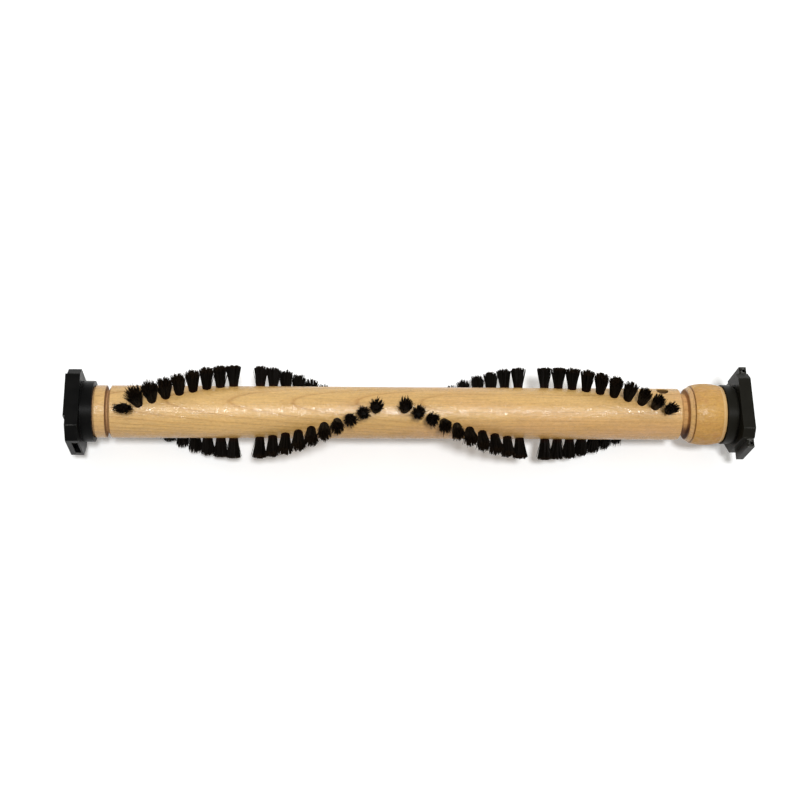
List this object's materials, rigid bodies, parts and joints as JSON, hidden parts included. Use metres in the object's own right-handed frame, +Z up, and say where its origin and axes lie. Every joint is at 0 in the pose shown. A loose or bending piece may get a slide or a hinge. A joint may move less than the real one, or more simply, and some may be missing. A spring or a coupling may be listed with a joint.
{
  "type": "vacuum brush roll",
  "caption": "Turned wooden vacuum brush roll with chevron rows of black bristle tufts, a crowned belt track and a ball-bearing end cap at each end.",
  "frame": {"origin": "on the roll axis at the middle of its overall length", "axes": "+X along the roll toward the belt track, +Y toward the back, +Z up"},
  "size_m": [0.3746, 0.0526, 0.0526],
  "materials": {
    "maple": "satin clear lacquer on pale close-grained wood",
    "bristle": "bundled stiff black filaments",
    "wire": "flat drawn wire",
    "black_plastic": "moulded black nylon, satin",
    "ground_steel": "ground steel rod",
    "race_steel": "ground bearing steel",
    "ball_steel": "polished bearing balls",
    "cage_plastic": "moulded brown cage",
    "shield_steel": "pressed steel",
    "felt": "dense grey felt",
    "spring_steel": "dark oiled spring steel"
  },
  "bodies": {
    "roller": {"wood_roller": "maple", "left_axle": "ground_steel", "right_axle": "ground_steel", "tufts_left_outer_a": "bristle", "tufts_left_outer_b": "bristle", "tufts_left_inner_a": "bristle", "tufts_left_inner_b": "bristle", "tufts_right_inner_a": "bristle", "tufts_right_inner_b": "bristle", "tufts_right_outer_a": "bristle", "tufts_right_outer_b": "bristle", "anchors_left_outer_a": "wire", "anchors_left_outer_b": "wire", "anchors_left_inner_a": "wire", "anchors_left_inner_b": "wire", "anchors_right_inner_a": "wire", "anchors_right_inner_b": "wire", "anchors_right_outer_a": "wire", "anchors_right_outer_b": "wire", "left_inner_race": "race_steel", "left_felt_washer": "felt", "left_retaining_ring": "spring_steel", "right_inner_race": "race_steel", "right_felt_washer": "felt", "right_retaining_ring": "spring_steel"},
    "left_cap": {"left_end_cap": "black_plastic", "left_outer_race": "race_steel", "left_shields": "shield_steel"},
    "left_cage": {"left_cage": "cage_plastic", "left_balls": "ball_steel"},
    "right_cap": {"right_end_cap": "black_plastic", "right_outer_race": "race_steel", "right_shields": "shield_steel"},
    "right_cage": {"right_cage": "cage_plastic", "right_balls": "ball_steel"}
  },
  "joints": [
    {"name": "left_cap_spin", "type": "hinge", "parent": "roller", "child": "left_cap", "pos_m": [-0.1801, 0, 0], "axis": [1, 0, 0], "continuous": true},
    {"name": "left_cage_spin", "type": "hinge", "parent": "roller", "child": "left_cage", "pos_m": [-0.1801, 0, 0], "axis": [1, 0, 0], "continuous": true},
    {"name": "right_cap_spin", "type": "hinge", "parent": "roller", "child": "right_cap", "pos_m": [0.1807, 0, 0], "axis": [1, 0, 0], "continuous": true},
    {"name": "right_cage_spin", "type": "hinge", "parent": "roller", "child": "right_cage", "pos_m": [0.1807, 0, 0], "axis": [1, 0, 0], "continuous": true}
  ],
  "couplings": [
    {"joint": "left_cage_spin", "follows": "left_cap_spin", "ratio": 0.64},
    {"joint": "right_cage_spin", "follows": "right_cap_spin", "ratio": 0.64}
  ]
}
